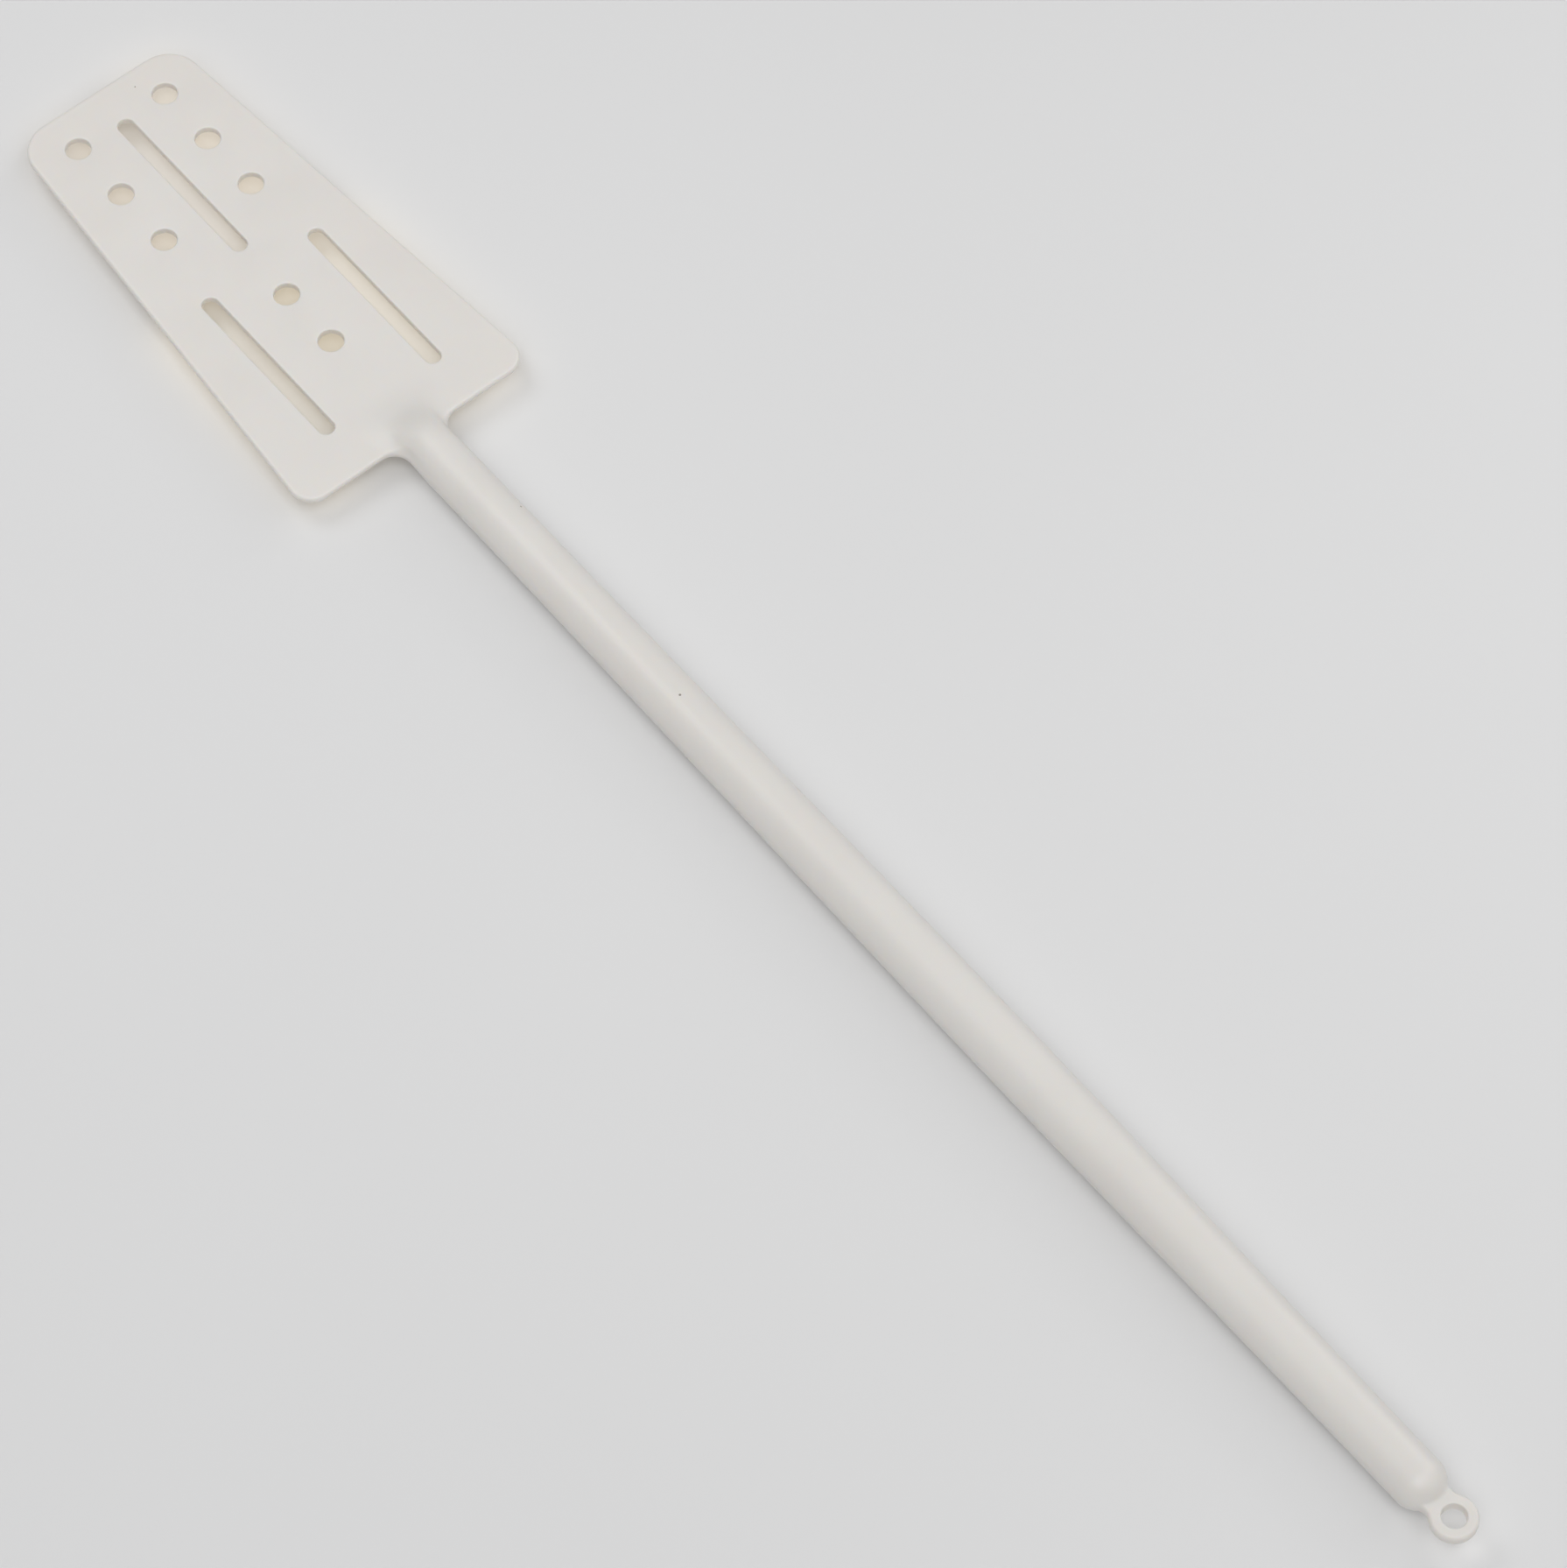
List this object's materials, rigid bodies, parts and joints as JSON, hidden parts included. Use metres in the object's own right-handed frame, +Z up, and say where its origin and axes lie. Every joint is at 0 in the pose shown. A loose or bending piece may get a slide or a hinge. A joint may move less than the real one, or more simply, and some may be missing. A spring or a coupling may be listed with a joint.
{
  "type": "stirring paddle",
  "caption": "Long-handled plastic stirring paddle with a flat tapered blade pierced by round holes and slots, a round swelling handle and a hanging eye.",
  "frame": {"origin": "on the surface the paddle lies on, under the middle of its overall length and width", "axes": "+X along the handle from the blade tip to the hanging eye, +Y across the blade, +Z up, square to the blade"},
  "size_m": [0.61, 0.0818, 0.0176],
  "materials": {
    "ivory_plastic": "smooth gloss moulding",
    "core_steel": "drawn stainless tube",
    "plug_plastic": "as moulded"
  },
  "bodies": {
    "root": {"blade": "ivory_plastic", "handle": "ivory_plastic", "hanging_eye": "ivory_plastic", "core_tube": "core_steel", "core_plug_blade_end": "plug_plastic", "core_plug_eye_end": "plug_plastic"}
  },
  "joints": []
}
